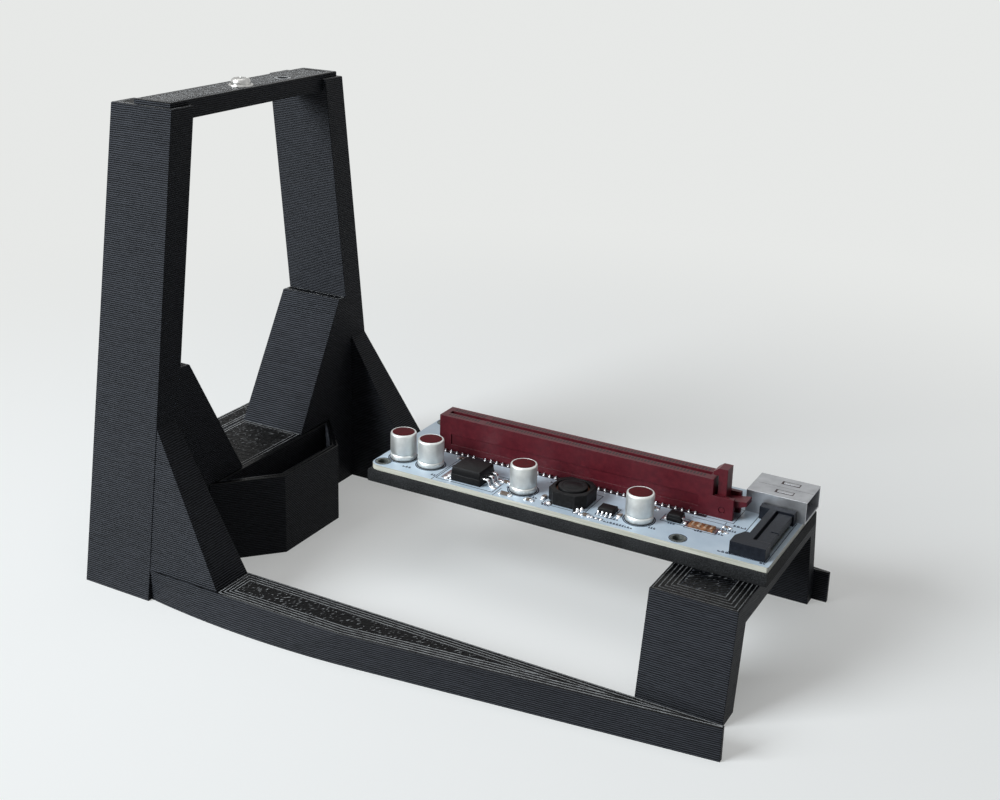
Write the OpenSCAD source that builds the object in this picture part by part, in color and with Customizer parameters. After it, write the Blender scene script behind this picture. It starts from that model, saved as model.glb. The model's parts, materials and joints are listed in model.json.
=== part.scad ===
// Stand that holds one expansion card upright beside its slot board.
// A leaning two-post tower carries the card's bracket on a crossbar, two long
// tapering feet steady it, and a low bridge carries the slot board on a pad.
// Frame: +Z up, X along the card, origin at the centre of the footprint.

/* [Tower] */
// Depth of the posts along the card
post_depth = 24.5; // [18:0.5:32]
// How much narrower the posts are at their tops
post_taper = 2.4; // [0:0.1:5]
// Thickness of each leaning post
post_thick = 9.2; // [7:0.2:12]
// Height of the post tops
post_height = 142; // [120:1:160]
// Half distance between the posts' outer faces at the floor
stance_half = 59.9; // [54:0.1:66]
// Lean of the posts toward each other, in degrees
post_lean = 7.8; // [4:0.1:10]
// Width of the crossbar along the card
bar_width = 13.2; // [10:0.2:20]
// Thickness of the crossbar
bar_thick = 5.2; // [4:0.1:8]
// Distance between the two bracket screw holes
screw_pitch = 20.32; // [20.32]

/* [Low wall and pocket] */
// Height of the low wall and of the pocket
wall_height = 26; // [20:0.5:32]
// How far the low wall reaches behind the posts
heel_reach = 8; // [4:0.5:12]
// Height of the ledges where the inner gussets start
ledge_height = 67; // [58:1:80]
// Reach of the pocket in front of the tower
pocket_reach = 15.7; // [12:0.1:20]
// Thickness of the pocket's walls
pocket_wall = 2.4; // [1.6:0.1:3]

/* [Feet] */
// Length of the feet from the tower
foot_length = 172; // [150:1:190]
// Height of the feet
foot_height = 9.5; // [8:0.5:12]
// Half distance between the feet's inner faces
foot_inner = 44.8; // [42:0.1:47]
// Radius of the bowed outer side near the tower
bow_radius = 298; // [250:1:350]
// Length of the bowed part
bow_length = 72; // [60:1:90]
// Height where the outer gussets meet the tower
gusset_height = 52; // [40:1:64]
// Reach of the outer gussets along the feet
gusset_reach = 24.9; // [18:0.1:32]

/* [Bridge] */
// Start of the bridge, from the tower's front face
bridge_start = 143; // [130:1:150]
// Width of the bridge along the card
bridge_width = 24.5; // [18:0.5:30]
// Height of the bridge
bridge_height = 30.4; // [26:0.2:36]
// Thickness of the bridge's top
bridge_top = 6; // [4:0.2:8]

/* [Slot board] */
// Start of the board, from the tower's front face
board_start = 44.3; // [40:0.1:50]
// Length of the board
board_length = 124.8; // [120:0.2:127]
// Width of the board
board_width = 43; // [42:0.5:46]
// Thickness of the pad under the board
pad_thick = 3.9; // [3:0.1:5]
// Thickness of the board
board_thick = 1.6; // [1.2:0.2:2]
// Number of contact pairs in the slot
contact_pairs = 82; // [82]
// Diameter of the tall capacitors
cap_dia = 8; // [6.3:0.1:10]
// Height of the tall capacitors
cap_height = 8.5; // [6:0.5:13]
// How far the slot's latch is swung open, in degrees
latch_open = 0; // [0:1:25]

/* [Hidden] */
$fn = 64;
eps = 0.01;

// the tower's front face stands at this X, so the footprint is centred
front_x = -(foot_length - post_depth - heel_reach) / 2;
lean = tan(post_lean);
black = [0.10, 0.10, 0.11];
silver = [0.80, 0.80, 0.82];
gold = [0.85, 0.68, 0.30];

// crossbar and its screws, measured from the tower's front face
bar_front = -1.4;
screw_x = -6.2;
screw_y = -2.9;
screw_hole = 3.0;
bar_top = post_height + 1.5;

// feet: lean of the outer side, and step from the post to the gusset
foot_lean = 0.17;
gusset_step = 0.15;

// board stack
pad_z = bridge_height;
board_z = pad_z + pad_thick;
top_z = board_z + board_thick;
board_y = -10.1;
hole_x = [2.85, 98.25];
hole_y = [3.4, 39.5];
hole_dia = 3.2;

// slot
slot_x = 56.5;
slot_y = 14.5;
slot_len = 89;
slot_w = 7.5;
slot_h = 11.25;
groove_w = 1.8;
groove_depth = 8.4;
key_x = 13.6;
key_w = 1.6;
pitch = 1;
latch_gap = 0.3;
cheek = 1.3;
pivot_x = slot_x + slot_len + 2.9;
pivot_z = 2.6;
pivot_dia = 1.6;

caps = [[50.7, -0.9], [60.6, -1.2], [92.6, -2.1], [129, -1.8]];
reg = [71.2, -7.5];
reg_size = [10, 9, 4.4];
coil = [107.7, -0.4];
coil_w = 12;
coil_h = 4.6;
coil_drum = 8.6;
chip = [119.6, -2.2];
chip_size = [4.9, 3.9, 1.5];
// small parts: x, y, size along x, size along y, height
bits = [
  [89.6, -7.6, 3.2, 1.6, 0.6], [97.2, -7.4, 2.0, 1.25, 0.6], [100.2, -3.6, 1.25, 2.0, 0.7],
  [86.2, -0.4, 2.0, 1.25, 0.6], [115.2, -7.6, 2.0, 1.25, 0.6], [123.6, -3.0, 1.25, 2.0, 0.6],
  [130, 6.8, 2.0, 1.25, 0.6], [151.9, 3.0, 1.6, 0.8, 0.5], [151.9, 6.2, 1.6, 0.8, 0.5],
  [66.6, 7.2, 2.0, 1.25, 0.6], [99.4, 26, 2.0, 1.25, 0.6], [76.5, 26, 2.0, 1.25, 0.6]
];
inlet = [157.4, -7.7];
inlet_size = [10, 26.8, 3.7];
socket = [152.4, 19.6];
socket_size = [17.4, 13.1, 6.6];

// moves a piece from the tower's front face to the part's origin
module place() translate([front_x, 0, 0]) children();
// the rear side is the front side's mirror image
module rear() mirror([0, 1, 0]) children();
// an outline drawn in Y and Z, extruded along X from x0 to x1
module yz(x0, x1) translate([x0, 0, 0]) rotate([90, 0, 90]) linear_extrude(x1 - x0) children();
// an outline drawn in X and Z, extruded along Y from y0 to y1
module xz(y0, y1) translate([0, y1, 0]) rotate([90, 0, 0]) linear_extrude(y1 - y0) children();

// Y of the front post's outer and inner face at a height
function outer(z) = -stance_half + z * lean;
function inner(z) = outer(z) + post_thick;

module post_profile()
  polygon([[outer(0), 0], [inner(0), 0], [inner(post_height), post_height],
           [outer(post_height), post_height]]);

// the posts' rear side leans forward by the taper
module rear_cut(reach) let (k = post_taper / post_height)
  xz(-stance_half - 5, stance_half + 5) polygon([[-post_depth - k, -1], [reach, -1],
    [reach, post_height + 1], [-post_depth + post_taper + k, post_height + 1]]);
module post() intersection() {
  yz(-post_depth - 1, 0) post_profile();
  rear_cut(1);
}
module front_post() color(black) place() post();
module rear_post() color(black) place() rear() post();

// the bar lies between the posts and laps over their tops
module crossbar() color(black) place() difference() {
  union() {
    yz(bar_front - bar_width, bar_front)
      polygon([[inner(bar_top - bar_thick), bar_top - bar_thick], [-inner(bar_top - bar_thick), bar_top - bar_thick],
               [-inner(post_height), post_height], [inner(post_height), post_height]]);
    translate([bar_front - bar_width, outer(post_height) + 1.2, post_height])
      cube([bar_width, -2 * (outer(post_height) + 1.2), bar_top - post_height]);
  }
  for (i = [0, 1]) translate([screw_x, screw_y + i * screw_pitch, 0])
    cylinder(d = screw_hole, h = bar_top + 5);
}

// low wall with the inner gussets: one plate with a V-shaped window
module low_wall() color(black) place() {
  intersection() {
    yz(-post_depth - 1, 0) polygon(concat(
      [[inner(0), 0], [inner(ledge_height), ledge_height], [-17.2 - 20.5, ledge_height],
       [-15.2, wall_height]],
      [[15.2, wall_height], [37.7, ledge_height], [-inner(ledge_height), ledge_height], [-inner(0), 0]]));
    rear_cut(1);
  }
  translate([-post_depth - heel_reach, -foot_inner, 0])
    cube([heel_reach + 1, 2 * foot_inner, wall_height]);
}

// open-topped pocket of thin walls in front of the low wall
function pocket_outline(t) = let (k = t * 1.35)
  [[0, -31.4 + k], [pocket_reach - t, -14.2 + t * 0.55], [pocket_reach - t, 14.2 - t * 0.55], [0, 31.4 - k]];
module pocket() color(black) place() difference() {
  linear_extrude(wall_height) polygon(pocket_outline(0));
  translate([0, 0, 2]) linear_extrude(wall_height) intersection() {
    polygon(pocket_outline(pocket_wall));
    translate([pocket_wall / 2, -50]) square([100, 100]);
  }
}

// foot: bowed near the tower, then a straight taper to the tip
bow_half = asin(bow_length / 2 / bow_radius);
bow_y = -(stance_half + 0.7);
taper_y = bow_y + bow_radius * (1 - cos(bow_half));
bow_steps = 24;
module foot_plan() polygon(concat(
  [[0, -foot_inner]],
  [for (i = [0 : bow_steps]) let (a = bow_half * (2 * i / bow_steps - 1))
    [bow_length / 2 + bow_radius * sin(a), bow_y + bow_radius * (1 - cos(a))]],
  [[foot_length, taper_y + (foot_length - bow_length) * tan(bow_half)], [foot_length, -foot_inner]]));
module foot() {
  // the outer side leans with the tower until the taper runs inside it
  intersection() {
    linear_extrude(foot_height) foot_plan();
    yz(-1, foot_length + 1) polygon([[bow_y, -1], [0, -1], [0, foot_height + 1],
      [bow_y + foot_lean * (foot_height + 1), foot_height + 1], [bow_y, 0]]);
  }
  // outer gusset, a hair behind the post's leaning face
  run = gusset_reach / (gusset_height - foot_height);
  intersection() {
    xz(-stance_half - 1, 0) polygon([[0, foot_height - 1], [gusset_reach + run, foot_height - 1],
      [0, gusset_height]]);
    yz(-1, gusset_reach + 5) polygon([[outer(0) + gusset_step, 0], [-foot_inner, 0],
      [-foot_inner, gusset_height], [outer(gusset_height) + gusset_step, gusset_height]]);
  }
}
module front_foot() color(black) place() foot();
module rear_foot() color(black) place() rear() foot();

// bridge: splayed legs under a flat top, its rear leg against the rear foot
module bridge() color(black) place() yz(bridge_start, bridge_start + bridge_width)
  polygon([[-32.2, 0], [-24.2, 0], [-20, bridge_height - bridge_top], [36.6, bridge_height - bridge_top],
           [40.6, 0], [foot_inner, 0], [foot_inner, 5.6], [40.4, bridge_height], [-26.7, bridge_height]]);

module pad() color([0.12, 0.12, 0.12]) place()
  translate([board_start, board_y - 1.2, pad_z]) cube([board_length + 0.2, board_width + 2, pad_thick]);

module board_plan() {
  r = 3; // corners near the tower
  q = 0.6; // corners at the far end
  difference() {
    union() {
      translate([r, 0]) square([board_length - r - q, board_width]);
      translate([0, r]) square([2 * r, board_width - 2 * r]);
      translate([board_length - 2 * q, q]) square([2 * q, board_width - 2 * q]);
      for (y = [r, board_width - r]) translate([r, y]) circle(r = r);
      for (y = [q, board_width - q]) translate([board_length - q, y]) circle(r = q);
    }
    for (x = hole_x, y = hole_y) translate([x, y]) circle(d = hole_dia);
  }
}
module board() color([0.88, 0.92, 0.96]) place()
  translate([board_start, board_y, board_z]) linear_extrude(board_thick) board_plan();

// slot housing with a keyed groove and a fork for the latch at its end
module slot_housing() color([0.35, 0.05, 0.06]) place() translate([slot_x, slot_y, top_z]) {
  difference() {
    translate([0, -slot_w / 2, 0]) cube([slot_len, slot_w, slot_h]);
    difference() {
      translate([1.8, -groove_w / 2, slot_h - groove_depth]) cube([slot_len - 3.6, groove_w, groove_depth + 1]);
      translate([key_x, -groove_w, 0]) cube([key_w, 2 * groove_w, slot_h - 0.6]);
    }
    // shallow recess along both upper sides
    for (s = [-1, 1]) translate([4, s * slot_w / 2 - 0.4, 2.2]) cube([slot_len - 8, 0.8, 3.4]);
  }
  for (s = [0, 1]) mirror([0, s, 0]) difference() {
    translate([slot_len - eps, slot_w / 2 - cheek, 0]) cube([6.2, cheek, 6.4]);
    translate([pivot_x - slot_x, 0, pivot_z]) rotate([-90, 0, 0]) cylinder(d = pivot_dia + 0.3, h = 9, $fn = 32);
  }
}

// contacts: one pair of thin strips for each position except the key's
module slot_contacts() color(gold) place() translate([slot_x, slot_y, top_z])
  for (i = [0 : contact_pairs - 1]) {
    x = 2.6 + i * pitch + (i > 10 ? 2 : 0);
    for (s = [0, 1]) mirror([0, s, 0]) translate([x - 0.3, groove_w / 2 - 0.25, slot_h - groove_depth])
      cube([0.6, 0.25, groove_depth - 1.4]);
  }

// latch: hook, thumb tab and two pivot stubs, turning about Y
module slot_latch() color([0.35, 0.05, 0.06]) place()
  translate([pivot_x, slot_y, top_z + pivot_z]) rotate([0, latch_open, 0]) {
    half = slot_w / 2 - cheek - latch_gap;
    xz(-half, half) difference() {
      union() {
        circle(d = 4.2, $fn = 48);
        translate([-2.1, 0]) square([2.6, 11.6]);
        polygon([[-2.1, 9.4], [-3.7, 9.4], [-3.7, 10.4], [-2.1, 11.6]]);
        polygon([[0, -0.4], [6.6, 2.0], [6.6, 3.4], [0, 2.4]]);
      }
    }
    for (s = [0, 1]) mirror([0, s, 0]) translate([0, half - eps, 0]) rotate([-90, 0, 0])
      cylinder(d = pivot_dia, h = cheek + latch_gap - 0.1, $fn = 32);
  }

// capacitor can: crimped groove above the foot, rounded shoulders
module can(d, h) rotate_extrude() polygon(concat(
  [[0, 0], [d / 2 - 0.1, 0], [d / 2, 0.3], [d / 2, 1.3]],
  [for (a = [0 : 30 : 180]) [d / 2 - 0.28 * sin(a), 1.7 + 0.35 * (1 - cos(a))]],
  [for (a = [0 : 18 : 90]) [d / 2 - 0.8 + 0.8 * cos(a), h - 0.8 + 0.8 * sin(a)]],
  [[0, h]]));
module cap(i) color(silver) place() translate([caps[i][0], caps[i][1], top_z]) can(cap_dia, cap_height);
module capacitor_1() cap(0);
module capacitor_2() cap(1);
module capacitor_3() cap(2);
module capacitor_4() cap(3);

module regulator() color([0.13, 0.13, 0.14]) place() translate([reg[0], reg[1], top_z])
  difference() {
    cube(reg_size);
    // drafted upper edge on the lead side
    translate([reg_size[0] - 1, -1, reg_size[2] - 1.2]) rotate([0, 40, 0]) cube([3, reg_size[1] + 2, 3]);
  }
// flat lead bent down to the board, drawn in X and Z
function lead_path(t) = [[0, 2.0], [1.3, 2.0], [2.0, 0], [3.6, 0], [3.6, t], [2.5, t], [1.8, 2.0 + t], [0, 2.0 + t]];
module regulator_leads() color(silver) place() {
  for (i = [0 : 2]) translate([reg[0] + reg_size[0], 0, top_z])
    xz(reg[1] + 1.4 + i * 2.54, reg[1] + 2.4 + i * 2.54) polygon(lead_path(0.5));
  translate([reg[0] - 1.4, reg[1] + 0.6, top_z]) cube([1.4, reg_size[1] - 1.2, 1.3]);
}

// inductor: a wound drum inside an eight-sided ferrite shell
module octagon(w, c) polygon([for (s = [[1, 1], [-1, 1], [-1, -1], [1, -1]])
  for (k = s[0] * s[1] > 0 ? [0, 1] : [1, 0]) [s[0] * (w / 2 - k * c), s[1] * (w / 2 - (1 - k) * c)]]);
module inductor() color([0.12, 0.12, 0.12]) place() translate([coil[0], coil[1], top_z]) {
  difference() {
    linear_extrude(coil_h - 0.3) octagon(coil_w, 2.6);
    translate([0, 0, 1]) cylinder(d = coil_drum + 1.4, h = coil_h);
  }
  translate([0, 0, 0.5]) cylinder(d = coil_drum, h = coil_h - 0.5);
}
module inductor_winding() color([0.25, 0.16, 0.10]) place() translate([coil[0], coil[1], top_z + 1])
  difference() {
    cylinder(d = coil_drum + 1.2, h = coil_h - 2.6);
    translate([0, 0, -1]) cylinder(d = coil_drum + 0.2, h = coil_h);
  }

module controller() color([0.10, 0.10, 0.11]) place()
  translate([chip[0] - chip_size[0] / 2, chip[1] - chip_size[1] / 2, top_z + 0.1]) cube(chip_size);
module controller_pins() color(silver) place() for (s = [0, 1], i = [0 : 3])
  translate([chip[0] - 1.905 - 0.2 + i * 1.27, chip[1], top_z]) mirror([0, s, 0])
    translate([0, chip_size[1] / 2, 0]) rotate([90, 0, 90]) linear_extrude(0.4)
      polygon([[0, 0.7], [0.35, 0.7], [0.5, 0], [1.1, 0], [1.1, 0.2], [0.65, 0.2], [0.5, 0.9], [0, 0.9]]);

module diode() color([0.12, 0.12, 0.13]) place() translate([135.4, 1.4, top_z]) {
  translate([0.35, 0, 0.2]) cube([4.3, 3.6, 2.1]);
  for (x = [0, 3.9]) translate([x, 0.9, 0]) cube([1.1, 1.8, 1.2]);
}
module fuse() color([0.72, 0.42, 0.18]) place() translate([142.2, 1, top_z]) cube([7.4, 3.2, 0.8]);
module small_parts() color([0.45, 0.38, 0.30]) place() for (b = bits)
  translate([b[0] - b[2] / 2, b[1] - b[3] / 2, top_z]) cube([b[2], b[3], b[4]]);

// power inlet: a low housing with two guide arms and a contact tongue between them
module power_inlet() color([0.12, 0.12, 0.13]) place() translate([inlet[0], inlet[1], top_z]) {
  x = inlet_size[0];
  y = inlet_size[1];
  linear_extrude(inlet_size[2]) polygon([[0, 0], [x, 0], [x, 4.2], [5, 4.2], [5, y - 2.4],
    [x, y - 2.4], [x, y], [0, y], [0, y - 2.4], [3, y - 2.4], [3, 7.5], [1.7, 7.5], [0, 4]]);
  // tongue with a groove at its root and a coding notch
  difference() {
    translate([4.5, 4.8, 1.3]) cube([5.1, y - 7.8, 2]);
    translate([5, 0, 2.2]) cube([0.8, y, 2]);
    translate([7.6, 11.2, 2.6]) cube([3, 0.6, 2]);
  }
}
module power_contacts() color(gold) place() for (i = [0 : 14])
  translate([inlet[0] + 5.4, inlet[1] + 5 + i * 1.27, top_z + 1.1]) cube([4, 0.8, 0.2]);

// data socket: a folded metal shell with an insulating tongue
module data_socket() color(silver) place() translate([socket[0], socket[1], top_z]) difference() {
  cube(socket_size);
  translate([3, 0.4, 0.4]) cube([socket_size[0], socket_size[1] - 0.8, socket_size[2] - 0.8]);
}
module data_tongue() color([0.10, 0.25, 0.65]) place()
  translate([socket[0] + 3, socket[1] + 0.9, top_z + 3.5]) cube([11.8, socket_size[1] - 1.8, 1.9]);

// pan head screw with a washer face and a cross recess
module bracket_screw() color(silver) place()
  translate([screw_x, screw_y, bar_top]) difference() {
    union() {
      cylinder(d = 7.4, h = 0.7);
      translate([0, 0, 0.7]) rotate_extrude() polygon(concat([[0, 0], [3, 0]],
        [for (a = [0 : 15 : 75]) [3 - 1.1 * (1 - cos(a)), 0.5 + 1.5 * sin(a)]], [[0, 2]]));
      translate([0, 0, -5]) cylinder(d = screw_hole - 0.2, h = 5 + eps);
    }
    for (a = [0, 90]) rotate([0, 0, a]) translate([-1.7, -0.35, 1.3]) cube([3.4, 0.7, 3]);
  }

front_post();
rear_post();
crossbar();
low_wall();
pocket();
front_foot();
rear_foot();
bridge();
pad();
board();
slot_housing();
slot_contacts();
slot_latch();
capacitor_1();
capacitor_2();
capacitor_3();
capacitor_4();
regulator();
regulator_leads();
inductor();
inductor_winding();
controller();
controller_pins();
diode();
fuse();
small_parts();
power_inlet();
power_contacts();
data_socket();
data_tongue();
bracket_screw();
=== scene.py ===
"""Looks for the card stand: printed black frame, slot board on its pad, studio floor and camera."""

import json
import math

import bpy
import numpy as np
from mathutils import Matrix, Vector

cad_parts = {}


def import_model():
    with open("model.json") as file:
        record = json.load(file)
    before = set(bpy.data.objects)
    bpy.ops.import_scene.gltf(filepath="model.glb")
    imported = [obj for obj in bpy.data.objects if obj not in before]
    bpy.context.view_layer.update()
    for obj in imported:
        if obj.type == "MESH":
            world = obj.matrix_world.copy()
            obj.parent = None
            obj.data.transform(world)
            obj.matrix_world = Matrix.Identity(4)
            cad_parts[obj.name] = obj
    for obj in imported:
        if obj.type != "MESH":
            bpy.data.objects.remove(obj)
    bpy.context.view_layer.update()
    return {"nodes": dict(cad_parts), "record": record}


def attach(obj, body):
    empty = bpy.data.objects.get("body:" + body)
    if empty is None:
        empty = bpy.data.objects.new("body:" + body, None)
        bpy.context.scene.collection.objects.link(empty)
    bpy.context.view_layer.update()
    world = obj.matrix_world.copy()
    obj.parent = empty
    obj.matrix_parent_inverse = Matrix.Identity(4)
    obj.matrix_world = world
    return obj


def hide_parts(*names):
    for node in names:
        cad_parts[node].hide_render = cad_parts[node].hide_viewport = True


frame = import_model()
nodes = frame["nodes"]

MM = 0.001
TOWER_X = -69.75          # the tower's front face, in mm
BOARD_TOP = 35.9          # upper face of the board, in mm
TOP = BOARD_TOP + 0.005   # where the thin marks on the board start
STAND = "stand"           # the body that every new piece rides on

WAVE_ONCE = 0.314         # scale at which a wave texture repeats once in a metre
LAYER = 0.0006            # height of a printed layer, in m
PER_LAYER = 1667          # noise scale along Z that changes about once a layer


# ---------------------------------------------------------------- materials

def shader(name, colour, rough, metal=0.0, specular=0.5):
    """A new material with its surface shader set; returns the material, its tree and the shader."""
    mat = bpy.data.materials.new(name)
    mat.use_nodes = True
    tree = mat.node_tree
    surface = tree.nodes["Principled BSDF"]
    surface.inputs["Base Color"].default_value = (*colour, 1)
    surface.inputs["Roughness"].default_value = rough
    surface.inputs["Metallic"].default_value = metal
    surface.inputs["Specular IOR Level"].default_value = specular
    return mat, tree, surface


def place_pattern(tree, scale):
    """Object coordinates stretched by scale along X, Y and Z."""
    coord = tree.nodes.new("ShaderNodeTexCoord")
    mapping = tree.nodes.new("ShaderNodeMapping")
    mapping.inputs["Scale"].default_value = scale
    tree.links.new(coord.outputs["Object"], mapping.inputs["Vector"])
    return mapping.outputs["Vector"]


def noise(tree, scale, size=1.0, detail=3.0, rough=0.55):
    """Cloudy noise on stretched object coordinates."""
    tex = tree.nodes.new("ShaderNodeTexNoise")
    tex.inputs["Scale"].default_value = size
    tex.inputs["Detail"].default_value = detail
    tex.inputs["Roughness"].default_value = rough
    tree.links.new(place_pattern(tree, scale), tex.inputs["Vector"])
    return tex.outputs["Fac"]


def ramp(tree, value, low, high, at=(0.3, 0.7)):
    """A two-colour ramp driven by value."""
    node = tree.nodes.new("ShaderNodeValToRGB")
    node.color_ramp.elements[0].position = at[0]
    node.color_ramp.elements[1].position = at[1]
    node.color_ramp.elements[0].color = (*low, 1)
    node.color_ramp.elements[1].color = (*high, 1)
    tree.links.new(value, node.inputs["Fac"])
    return node.outputs["Color"]


def span(tree, value, low, high):
    """Maps a 0 to 1 value to low to high."""
    node = tree.nodes.new("ShaderNodeMapRange")
    node.inputs["To Min"].default_value = low
    node.inputs["To Max"].default_value = high
    tree.links.new(value, node.inputs["Value"])
    return node.outputs["Result"]


def maths(tree, kind, a, b):
    """One arithmetic step; a and b are sockets or numbers."""
    node = tree.nodes.new("ShaderNodeMath")
    node.operation = kind
    for socket, item in zip(node.inputs, (a, b)):
        if isinstance(item, (int, float)):
            socket.default_value = item
        else:
            tree.links.new(item, socket)
    return node.outputs["Value"]


def bump(tree, surface, height, distance, strength=1.0, edge=0.0):
    """Raises the shading by height times distance, over edges rounded by edge."""
    node = tree.nodes.new("ShaderNodeBump")
    node.inputs["Strength"].default_value = strength
    node.inputs["Distance"].default_value = distance
    tree.links.new(height, node.inputs["Height"])
    if edge:
        rounded = tree.nodes.new("ShaderNodeBevel")
        rounded.samples = 6
        rounded.inputs["Radius"].default_value = edge
        tree.links.new(rounded.outputs["Normal"], node.inputs["Normal"])
    tree.links.new(node.outputs["Normal"], surface.inputs["Normal"])


def printed_black():
    """Black printed plastic: rounded layers of 0.6 mm stacked along Z with dark grooves between them,
    each layer wavering a little and with its own gloss; each layer is painted paler and each groove darker, a painted
    highlight and painted shade over their bump."""
    mat, tree, surface = shader("printed_black", (0.02, 0.02, 0.022), 0.42, specular=0.06)
    wave = tree.nodes.new("ShaderNodeTexWave")
    wave.bands_direction = "Z"
    wave.inputs["Scale"].default_value = WAVE_ONCE / LAYER
    wave.inputs["Distortion"].default_value = 1.5
    wave.inputs["Detail"].default_value = 1.5
    wave.inputs["Detail Scale"].default_value = 0.5
    tree.links.new(place_pattern(tree, (1, 1, 1)), wave.inputs["Vector"])
    bands = noise(tree, (30, 30, PER_LAYER), detail=2)
    twill = noise(tree, (300, 300, PER_LAYER), detail=2)
    cloud = noise(tree, (16, 16, 16), detail=3)
    # the wave paints each layer paler and each groove darker: painted highlight and painted shade; bands, twill and
    # cloud are tone that differs at random
    tone_and_layer_light = maths(tree, "MULTIPLY", wave.outputs["Fac"], 0.60)
    for pattern, share in ((bands, 0.24), (twill, 0.30), (cloud, 0.18)):
        tone_and_layer_light = maths(tree, "ADD", tone_and_layer_light, maths(tree, "MULTIPLY", pattern, share))
    colour = ramp(tree, tone_and_layer_light, (0.001, 0.0013, 0.0018), (0.066, 0.071, 0.084), (0.40, 0.94))
    tree.links.new(colour, surface.inputs["Base Color"])
    tree.links.new(span(tree, bands, 0.32, 0.55), surface.inputs["Roughness"])
    height = maths(tree, "ADD", wave.outputs["Fac"], maths(tree, "MULTIPLY", twill, 0.8))
    bump(tree, surface, height, 0.0002, 0.8, edge=0.0004)
    return mat


def printed_top_black():
    """Black printed plastic of the upper skins: near black in the grooves and paler along the crests of
    the ridges, a painted highlight; its mask is the mesh's own height of each point."""
    mat, tree, surface = shader("printed_top_black", (0.012, 0.012, 0.014), 0.3, specular=0.14)
    cloud = noise(tree, (420, 420, 420), detail=3)
    grain = noise(tree, (1500, 1500, 1500), detail=2)
    crest_highlight = tree.nodes.new("ShaderNodeAttribute")
    crest_highlight.attribute_name = "crest_highlight"
    patchy = maths(tree, "MULTIPLY", maths(tree, "SUBTRACT", cloud, 0.5), 0.16)
    top = maths(tree, "ADD", crest_highlight.outputs["Fac"], patchy)
    # painted highlight: the higher a point stands on its ridge, the paler its colour
    colour = ramp(tree, top, (0.001, 0.0012, 0.0016), (0.36, 0.37, 0.38), (0.82, 1.06))
    tree.links.new(colour, surface.inputs["Base Color"])
    tree.links.new(span(tree, cloud, 0.16, 0.4), surface.inputs["Roughness"])
    bump(tree, surface, grain, 0.00006, 0.5)
    return mat


def speckled(name, low, high, rough, metal=0.0, size=900, depth=0.00003, specular=0.5, edge=0.0):
    """A finish whose colour and roughness vary softly between two values, with a fine grain."""
    mat, tree, surface = shader(name, low, rough, metal, specular)
    cloud = noise(tree, (size, size, size), detail=4)
    tree.links.new(ramp(tree, cloud, low, high), surface.inputs["Base Color"])
    tree.links.new(span(tree, cloud, rough - 0.06, rough + 0.08), surface.inputs["Roughness"])
    bump(tree, surface, cloud, depth, edge=edge)
    return mat


def foam_black():
    """Dense black foam: fine open cells as dark pits among lighter specks."""
    mat, tree, surface = shader("foam_black", (0.02, 0.02, 0.02), 0.9, specular=0.25)
    cells = tree.nodes.new("ShaderNodeTexVoronoi")
    cells.inputs["Scale"].default_value = 1.0
    tree.links.new(place_pattern(tree, (2300, 2300, 2300)), cells.inputs["Vector"])
    fine = noise(tree, (3600, 3600, 3600), detail=3)
    cloud = noise(tree, (110, 110, 110), detail=3)
    mixed = maths(tree, "ADD", maths(tree, "MULTIPLY", fine, 0.7), maths(tree, "MULTIPLY", cloud, 0.3))
    colour = ramp(tree, mixed, (0.006, 0.0065, 0.007), (0.042, 0.044, 0.047), (0.35, 0.68))
    tree.links.new(colour, surface.inputs["Base Color"])
    height = maths(tree, "ADD", cells.outputs["Distance"], fine)
    bump(tree, surface, height, 0.0003, 0.8)
    return mat


def board_white():
    """Board: bluish white lacquer on its faces, cream laminate with fine glass layers on its edges."""
    mat, tree, surface = shader("board_white", (0.6, 0.7, 0.8), 0.32)
    face = noise(tree, (160, 160, 160), detail=4)
    layers = noise(tree, (60, 60, 5200), detail=2)
    top = ramp(tree, face, (0.50, 0.62, 0.73), (0.62, 0.73, 0.83))
    side = ramp(tree, layers, (0.50, 0.50, 0.42), (0.80, 0.79, 0.70))
    geometry = tree.nodes.new("ShaderNodeNewGeometry")
    parts = tree.nodes.new("ShaderNodeSeparateXYZ")
    tree.links.new(geometry.outputs["Normal"], parts.inputs["Vector"])
    level = maths(tree, "GREATER_THAN", maths(tree, "ABSOLUTE", parts.outputs["Z"], 0), 0.7)
    mix = tree.nodes.new("ShaderNodeMix")
    mix.data_type = "RGBA"
    tree.links.new(level, mix.inputs["Factor"])
    tree.links.new(side, mix.inputs["A"])
    tree.links.new(top, mix.inputs["B"])
    tree.links.new(mix.outputs["Result"], surface.inputs["Base Color"])
    tree.links.new(span(tree, face, 0.26, 0.42), surface.inputs["Roughness"])
    bump(tree, surface, face, 0.00004, 0.5)
    return mat


finishes = {
    "printed_black": printed_black(),
    "printed_top": printed_top_black(),
    "foam_black": foam_black(),
    "board_white": board_white(),
}
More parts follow.
